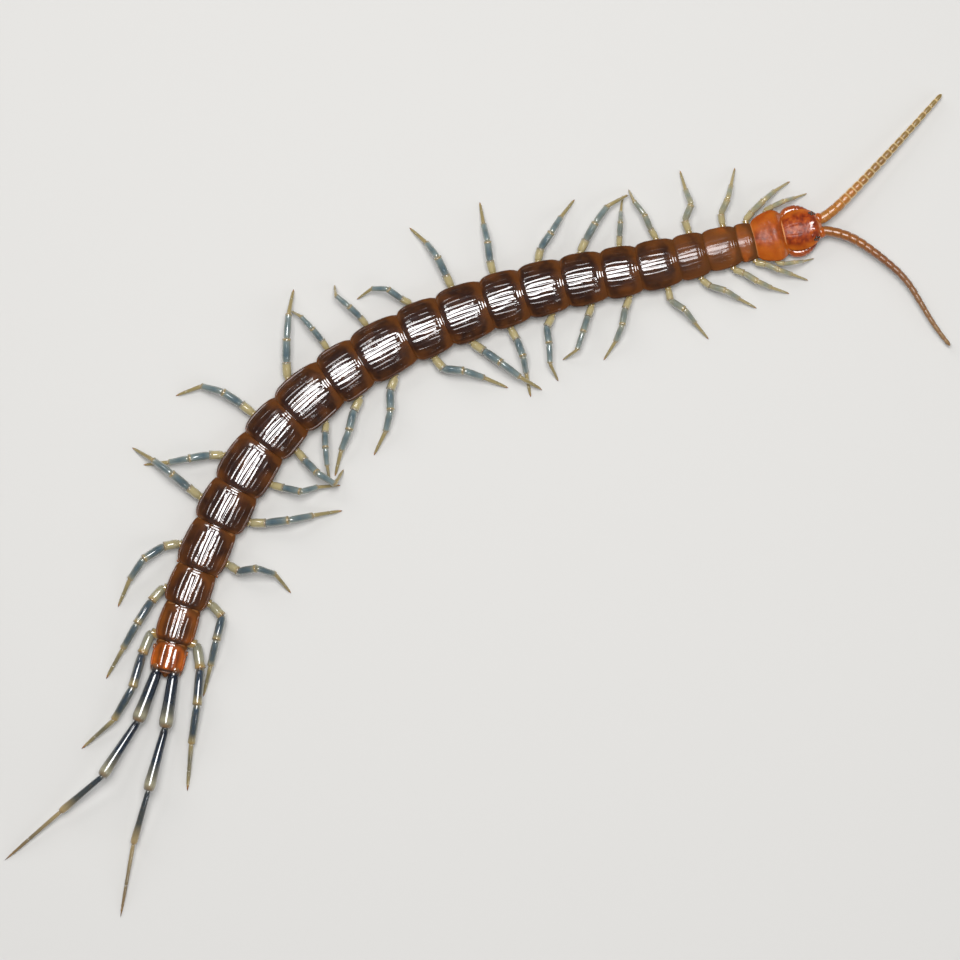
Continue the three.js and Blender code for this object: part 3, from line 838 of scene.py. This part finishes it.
def poison_claws(material):
    """Curved, jointed claws beside the head, each ending in a black fang."""
    rows = smooth_path(CLAW_RINGS, 90)
    share = np.linspace(0, 1, 90)
    radius = np.maximum(rows[:, 3], 0.02)
    for joint in (0.5, 0.57, 0.64):
        radius = radius * (1 - 0.12 * hump(share, joint, 0.012))
        radius = radius * (1 + 0.035 * hump(share, joint - 0.025, 0.015))
    radius[0] *= 0.3
    to_head = head_frame(CLAW_ROOT)
    for name, side in SIDES.items():
        piece = Body("along")
        path = rows[:, :3] * (1, side, 1)
        piece.loft(to_head(sweep(path, radius, radius * 1.08, 32)), along=share)
        piece.make(f"forcipule_{name}", material, "claw", f"poison_claw_{name}")


def underside(material):
    """Below the head: the plate that bears the poison claws, with its toothed lobes, and the palps."""
    piece = Body("along")
    to_head = head_frame(CLAW_ROOT)
    forward = np.linspace(-1.2, 2.5, 26)
    wide = 1.75 - 0.55 * ease(forward, 0.8, 2.5) - 0.35 * ease(-forward, 0.2, 1.2)
    thick = 0.4 * np.ones(26)
    thick[[0, -1]] *= 0.4
    rings = sweep(points(forward, 0, 0.86 + 0.02 * forward), wide, thick, 48)
    rings[..., 2] += 0.06 * hump(rings[..., 1], 0, 0.07) * (rings[..., 2] < 0.86)
    piece.loft(to_head(rings), along=0.1)
    for side in SIDES.values():
        lobe = points(np.linspace(2.2, 2.95, 8), side * 0.5, 0.84)
        piece.loft(to_head(sweep(lobe, [0.4, 0.44, 0.45, 0.44, 0.42, 0.4, 0.36, 0.2], 0.16, 20)), along=0.4)
        for k in range(4):
            tooth = points(np.linspace(2.85, 3.16, 5), side * (0.2 + 0.2 * k), 0.84)
            piece.loft(to_head(sweep(tooth, [0.1, 0.1, 0.08, 0.05, 0.01], 0.07, 10)), along=0.85)
        palp = smooth_path(PALP_RINGS, 40)
        piece.loft(to_head(sweep(palp[:, :3] * (1, side, 1), palp[:, 3], palp[:, 3], 16)), along=0.25)
    piece.make("head_underside", material, "claw")


# Half width of a bead along its length. Its first and last rows close it.
BEAD = [
    (-0.03, 0.099), (0, 0.66), (0.04, 0.78), (0.12, 0.92), (0.35, 1.03), (0.6, 1.07), (0.78, 1.05),
    (0.87, 0.99), (0.93, 0.92), (0.97, 0.84), (1, 0.7), (1.015, 0.105),
]
BEAD_STEP = 0.02


def feelers(materials):
    """Beaded antennae. The first beads are smooth and join closely; later ones are cut deeper."""
    count = FEELER["beads"]
    bead = FEELER["length"] / count
    walked = np.arange(-1.2, count + BEAD_STEP, BEAD_STEP)
    share = walked / count
    z = FEELER["base"] + 1.1 * share - 1.9 * share**2
    zero = np.abs(walked).argmin()
    to_head = head_frame(0)
    for name, side in SIDES.items():
        turn = np.radians(along(FEELER_BEND[name], walked * bead))
        x, y = (np.append(0, np.cumsum(way(turn))[:-1]) * BEAD_STEP * bead for way in (np.cos, np.sin))
        path = (x - x[zero] + 0.3, y - y[zero] + side * FEELER["apart"], z)
        flat, pale, cut = FEELER_LOOKS[name]
        piece = Body("along", "rim")
        for k in range(-1, count):
            at, wide = np.array(BEAD).T
            wide[1:-1] = 1 + (wide[1:-1] - 1) * float(np.clip(0.05 + 0.12 * k, 0.1, cut))
            if k == count - 1:
                wide *= np.sqrt(np.clip(1.02 - np.clip((at - 0.3) / 0.7, 0, 1) ** 2, 0.01, 1))
            girth = along(FEELER_GIRTH, max(k, 0)) * (0.9 if k < 0 else 1)
            centre, ahead = (points(*(np.interp(k + at + more, walked, row) for row in path))
                             for more in (0, 0.05))
            start = (ahead - centre)[1]
            rings = sweep(centre, wide * girth * flat, wide * girth, 24, start)
            fade = float(ease(k, 1.5, 4))
            # Painted highlight: pale rims at both ends of each bead, partly the beads' own paler joints, and
            # pale sides where the light glints along each bead.
            rim = np.maximum(hump(at, 0.95, 0.05), hump(at, 0.03, 0.04)) * fade * 0.8
            edge = ease(np.abs(np.sin(circle(24))), 0.7, 0.92) * pale * fade
            piece.loft(
                to_head(rings), along=np.clip((k + at) / count, 0, 1), rim=np.maximum(rim[:, None], edge))
        piece.make(f"feeler_{name}", materials[name], "feeler", f"antenna_{name}")


# One joint of a leg: narrow and rounded where it fits the last one, flared with a rim at its far end.
JOINT = [
    (-0.05, 0.55), (-0.02, 0.7), (0.03, 0.83), (0.1, 0.92), (0.25, 0.99), (0.45, 1.01), (0.65, 0.99),
    (0.82, 0.99), (0.92, 1.04), (0.965, 1.05), (0.99, 0.95), (1.005, 0.7),
]
SHIN = [
    (-0.05, 0.55), (-0.02, 0.7), (0.03, 0.85), (0.1, 0.95), (0.3, 1), (0.6, 0.96), (0.82, 0.93),
    (0.94, 0.97), (0.975, 0.93), (1.005, 0.65),
]
# How many parts the value along counts from the root of a leg to its tip.
LEG_PARTS = 6
# The last pair's joints widen towards their far ends.
CLUB = [
    (-0.03, 0.52), (0, 0.62), (0.05, 0.7), (0.2, 0.78), (0.4, 0.86), (0.6, 0.94), (0.76, 1.04), (0.88, 1.1),
    (0.94, 1.06), (0.98, 0.92), (1, 0.7),
]


def leg_joints(side, pose, sizes, size, root, stance):
    """The far ends of a leg's joints, in a frame whose +X points straight out of the flank."""
    knee = stance.get("knee", sizes["knee"])
    ankle = stance.get("ankle", knee * 0.52)
    foot = stance.get("foot", sizes["claw"])
    heights = [root, root + (knee - root) * 0.35, knee, ankle, foot]
    point = np.array([0.3 + sizes["coxa"] * math.sqrt(size), 0, root])
    joints = [point]
    for k, heading in enumerate(pose):
        rise = heights[k + 1] - heights[k]
        reach = math.sqrt((sizes["lengths"][k] * size) ** 2 - rise**2)
        turn = -side * math.radians(heading)
        point = point + (math.cos(turn) * reach, math.sin(turn) * reach, rise)
        joints.append(point)
    return joints


def tube_joint(piece, ends, radii, profile, number, share, looks, arch=0, spot=0):
    """One joint between two ends, with a radius at each, a little arched."""
    places = [place for place, _ in profile]
    at = np.unique(np.concatenate([places, np.linspace(0.08, 0.92, 13)]))
    within = np.clip(at, 0, 1)
    radius = curve(profile, at) * (radii[0] + (radii[1] - radii[0]) * within)
    axis = ends[1] - ends[0]
    length = np.linalg.norm(axis)
    path = ends[0] + at[:, None] * axis
    path[:, 2] += arch * length * np.sin(within * math.pi)
    left = np.cross((0, 0, 1), axis / length)
    left /= np.linalg.norm(left)
    up = np.cross(axis / length, left)
    angle = circle(24)
    around = left * np.sin(angle)[:, None] * 0.98 + up * np.cos(angle)[:, None] * 1.02
    rings = path[:, None] + around * radius[:, None, None]
    rings[..., 2] = np.maximum(rings[..., 2], 0)
    top = np.clip(np.cos(angle), 0, 1) ** 3
    mark = spot * hump(at, 0.965, 0.03)[:, None] * (0.3 + 0.7 * top)
    # Painted light: the sides as seen from above are marked for a paler colour, where light shines through
    # the thin edges.
    edge = np.abs(np.sin(angle))[None, :] ** 3
    piece.loft(rings, along=(number + within * share) / LEG_PARTS, side=edge, spot=mark, **looks)


def cone(piece, start, end, radius, number, share, looks, droop=0):
    """A pointed claw or spur."""
    at = np.linspace(0, 1, 9)
    path = start + at[:, None] * (end - start)
    path[:, 2] += droop * np.sin(at * math.pi)
    wide = radius * np.array([0.3, 1, 0.95, 0.85, 0.74, 0.6, 0.44, 0.26, 0.05])
    rings = sweep(path, wide, wide, 12)
    rings[..., 2] = np.maximum(rings[..., 2], 0)
    piece.loft(rings, along=(number + at * share) / LEG_PARTS, **looks)


def leg(name, side, pose, sizes, size, spot, root, stance, profile, looks, material, slot):
    """A leg from its root in the flank to its claw, with the two small claws and the spur of its foot."""
    inward = np.array([-0.55, 0, root])
    joints = mover(*spot)(np.stack([inward, *leg_joints(side, pose, sizes, size, root, stance)]))
    girth = min(size, 1 + 0.2 * (size - 1))
    radii = [r * girth for r in sizes["radii"]]
    piece = Body("along", "side", "spot", *looks)
    # Radii at both ends, profile, arch and orange mark of each joint above the foot.
    rows = [
        (radii[0] * 1.02, radii[0] * 0.88, JOINT, 0, 0),
        (radii[0] * (1.25 if profile is CLUB else 0.94), radii[0] * 0.98, profile, 0, 0.8),
        (radii[1], radii[1] * 0.98, profile, 0.02, 0.5),
        (radii[2] * 1.08, radii[2] * 0.94, profile, 0.01, 0.5),
    ]
    for number, (near, far, shape, arch, mark) in enumerate(rows):
        tube_joint(piece, joints[number:number + 2], (near, far), shape, number, 1, looks, arch, mark)
    ankle, tip = joints[4:]
    foot = tip - ankle
    split, end = ankle + foot * 0.56, ankle + foot * 0.86
    thick = radii[3]
    tube_joint(piece, (ankle, split), (thick, thick * 0.86), SHIN, 4, 0.55, looks)
    tube_joint(piece, (split, end), (thick * 0.84, thick * 0.62), SHIN, 4.55, 0.45, looks)
    cone(piece, ankle + foot * 0.83, tip * (1, 1, 0) + (0, 0, 0.02), thick * 0.48, 5, 1, looks, 0.05)
    across = np.cross(foot, (0, 0, 1))
    across /= np.linalg.norm(across)
    for way in (-1, 1):
        base = ankle + foot * 0.85 + across * way * thick * 0.25
        cone(piece, base, base + foot * 0.06 + across * way * 0.05, thick * 0.16, 5, 0.6, looks)
    heel = ankle + foot * 0.02 - (0, 0, thick * 0.6)
    cone(piece, heel, heel + foot * 0.09 - (0, 0, 0.1), thick * 0.22, 5, 0.8, looks)
    piece.make(f"fine_{name}", material, slot, name)


def flank_root(number, side):
    width = along(WIDTHS, number)
    distance = leg_distance(number)
    spot = body(distance, side * FLANK * width / 2, 0)
    turn = heading_at(distance) + side * math.pi / 2
    return (spot[0], spot[1], turn), BELLY + FLANK_HEIGHT * width * DEPTH


# How far each pair's colours are towards glassy and pale, and towards dark blue.
PALE = [(1, 1), (3, 1), (4, 0.7), (6, 0.3), (8, 0)]
NIGHT = [(16, 0), (18, 0.4), (19, 0.7), (20, 1)]


def legs(material, last_material):
    for name, side in SIDES.items():
        for number, pose in enumerate(POSE[name], 1):
            spot, root = flank_root(number, side)
            stance = STANCE[name].get(number, {})
            size = along(LEG_SIZES, number) * stance.get("size", 1)
            looks = {"pale": along(PALE, number), "night": along(NIGHT, number)}
            leg(f"leg_{name}_{number:02d}", side, pose, LEG, size, spot, root, stance, JOINT, looks,
                material, "leg")
        width = along(WIDTHS, LAST)
        distance = plate_start(LAST + 1) - 0.15
        place = body(distance, side * 0.25 * width, 0)
        spot = (place[0], place[1], heading_at(distance) + math.pi)
        leg(f"leg_{name}_21", side, LAST_POSE[name], LAST_LEG, 1, spot, BELLY + width * DEPTH / 2, {},
            CLUB, {}, last_material, "last_leg")


# Half width of the piece that bears a last leg, by the distance behind the last plate.
ROOT_GIRTH = [(-2.6, 0.2), (-2, 0.55), (-1, 0.78), (0, 0.74), (0.4, 0.5), (0.75, 0.12)]


def tail(piece):
    """The swollen side pieces that bear the last legs, and the small lobe between them."""
    end = plate_start(LAST + 1)
    back = np.linspace(ROOT_GIRTH[0][0], ROOT_GIRTH[-1][0], 22)
    wide = curve(ROOT_GIRTH, back)
    for side in SIDES.values():
        out = side * (0.29 * along(WIDTHS, LAST) + 0.06 * np.sin(back))
        piece.loft(sweep(body(end + back, out, 1.12), wide, wide * 0.95, 24), joint=0.3)
    lobe = body(end + np.array([-1, 0, 0.5, 0.8]), 0, [1, 1, 0.95, 0.9])
    piece.loft(sweep(lobe, [0.5, 0.5, 0.38, 0.12], [0.4, 0.36, 0.28, 0.1], 20), joint=0.6, sclerite=0.2)


def belly_plates(piece):
    """Flat plates under each segment, with two fine furrows."""
    v = np.linspace(-1, 1, 33)
    lower = np.concatenate([np.ones(33), np.zeros(31)])
    v = np.concatenate([v, v[::-1][1:-1]])
    furrow = hump(np.abs(v), 0.38, 0.035) * 0.05
    u = np.linspace(0.04, 0.97, 22)[:, None]
    shape = np.sqrt(np.clip(1 - np.abs(u * 2 - 1) ** 9, 0.05, 1))
    height = BELLY + 0.1 - lower * (0.17 * np.sqrt(np.clip(1 - v**6, 0, 1)) * shape - furrow)
    for number in range(2, LAST + 1):
        distance = plate_start(number) + u * TERGITES[number - 1]
        width = along(WIDTHS, number) * 0.62
        piece.loft(body(distance, v * width / 2 * shape, height), sclerite=0.25, belly=0.8)


AIR_HOLES = (3, 5, 8, 10, 12, 14, 16, 18, 20)
# Height and half length of the rings of an air hole, from outside the lip into the hole.
AIR_HOLE_LIP = [(-0.2, 0.25), (0.02, 0.3), (0.07, 0.27), (0.08, 0.22), (0.03, 0.16), (-0.02, 0.03)]


def air_holes(material):
    """Oval air holes with a raised amber lip, on the sides of nine segments; their near-black middle is
    painted shade.
    """
    piece = Body("rim")
    angle = circle(20)[:, None]
    for number in AIR_HOLES:
        width = along(WIDTHS, number)
        distance = leg_distance(number) + 0.32 * TERGITES[number - 1]
        for side in SIDES.values():
            aside = side * 0.868 * width / 2
            middle = body(distance, aside, BELLY + 0.5 * width * DEPTH)
            ahead = body(distance - 0.1, aside, 0) - body(distance, aside, 0)
            ahead /= np.linalg.norm(ahead)
            out = np.cross(ahead, (0, 0, 1)) * -side
            rings = [
                middle + out * rise + ahead * (np.cos(angle) * r) + np.sin(angle) * r * (0, 0, 0.6)
                for rise, r in AIR_HOLE_LIP
            ]
            # The lip is amber; the near-black middle is painted shade for the depth of the opening.
            piece.loft(np.stack(rings), rim=[1, 1, 1, 0.6, 0, 0])
    piece.make("air_holes", material, "plate")


def build():
    plate = plate_material()
    capsule = head_material()
    claw = claw_material()
    eye = eye_material()
    soft_body = core()
    tail(soft_body)
    belly_plates(soft_body)
    soft_body.make("soft_body", skin_material(), "plate")
    back_plates(plate)
    first_plate(capsule)
    head(capsule)
    ocelli(eye)
    poison_claws(claw)
    underside(claw)
    air_holes(eye)
    # The last colour of each feeler is its bead rims: partly their own paler joints, partly painted
    # highlight.
    feelers({
        "left": feeler_material(
            "feeler_gold", (0.42, 0.15, 0.016), (0.26, 0.13, 0.026), (0.24, 0.17, 0.05), (0.75, 0.56, 0.28)),
        "right": feeler_material(
            "feeler_tan", (0.3, 0.1, 0.016), (0.2, 0.068, 0.018), (0.27, 0.16, 0.06), (0.25, 0.1, 0.03)),
    })
    legs(leg_material(), last_leg_material())


def put(name, data, place, aim):
    """Adds a light or the camera to the scene, facing along aim."""
    thing = bpy.data.objects.new(name, data)
    thing.location = place
    thing.rotation_mode = "QUATERNION"
    thing.rotation_quaternion = aim.to_track_quat("-Z", "Y")
    bpy.context.scene.collection.objects.link(thing)
    return thing


def studio():
    """A pale floor, soft light from above and a camera that looks almost straight down."""
    scene = bpy.context.scene
    mesh = bpy.data.meshes.new("floor")
    corners = [(x * FLOOR_REACH, y * FLOOR_REACH, 0) for x, y in ((-1, -1), (1, -1), (1, 1), (-1, 1))]
    mesh.from_pydata(corners, [], [(0, 1, 2, 3)])
    floor = bpy.data.objects.new("floor", mesh)
    scene.collection.objects.link(floor)
    mesh.materials.append(new_material("floor", (0.57, 0.56, 0.54), 0.75))

    world = bpy.data.worlds.new("studio")
    world.use_nodes = True
    background = world.node_tree.nodes["Background"]
    background.inputs["Color"].default_value = (0.9, 0.93, 1, 1)
    background.inputs["Strength"].default_value = 0.14
    scene.world = world
    for k, (place, size, power) in enumerate(SOFTBOXES):
        lamp = bpy.data.lights.new(f"softbox_{k}", "AREA")
        lamp.size = size
        lamp.energy = power
        put(f"softbox_{k}", lamp, place, -Vector(place)).visible_glossy = k < GLINTS

    lens = bpy.data.cameras.new("camera")
    lens.lens = CAMERA["lens"]
    lens.clip_start = 0.01
    lens.clip_end = 20
    tilt = math.radians(CAMERA["elevation"])
    back = Vector((0, -math.cos(tilt), math.sin(tilt)))
    place = (Vector(CAMERA["target"]) + back * CAMERA["distance"]) * MM
    scene.camera = put("camera", lens, place, -back)
    scene.view_settings.view_transform = "Standard"


build()
studio()
